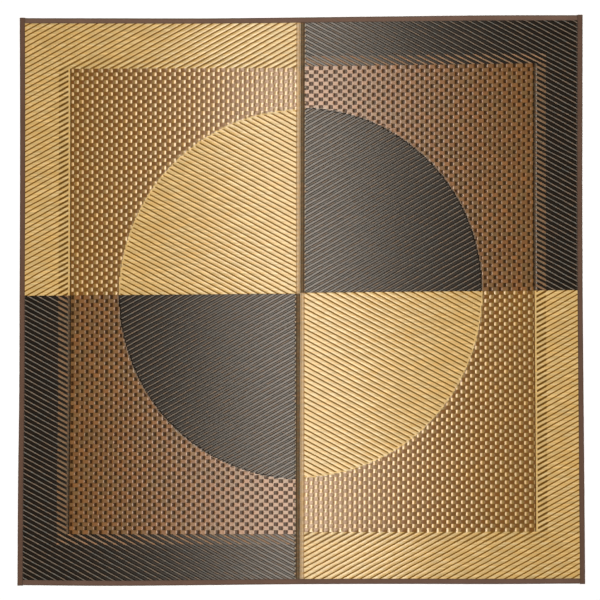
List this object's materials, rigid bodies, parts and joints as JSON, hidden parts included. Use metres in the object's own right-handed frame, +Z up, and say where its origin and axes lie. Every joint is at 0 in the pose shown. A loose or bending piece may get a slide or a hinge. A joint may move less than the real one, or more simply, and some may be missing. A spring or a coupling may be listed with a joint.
{
  "type": "rush rug",
  "caption": "Flat square rush rug woven as mats that are joined down the middle, with brown cloth tape folded over every edge.",
  "frame": {"origin": "middle of the rug's underside, at the centre of its bounding box", "axes": "+X across the rug from the left mat to the right mat, +Y along the seam to the far end, +Z up from the floor"},
  "size_m": [1.9202, 1.931, 0.004],
  "materials": {
    "rush": "dry woven rush, satin along the stems, dyed black in two quarters",
    "tape": "matt brown cotton tape"
  },
  "bodies": {
    "root": {"panel_left": "rush", "panel_right": "rush", "binding_left": "tape", "binding_right": "tape", "binding_near": "tape", "binding_far": "tape"}
  },
  "joints": []
}
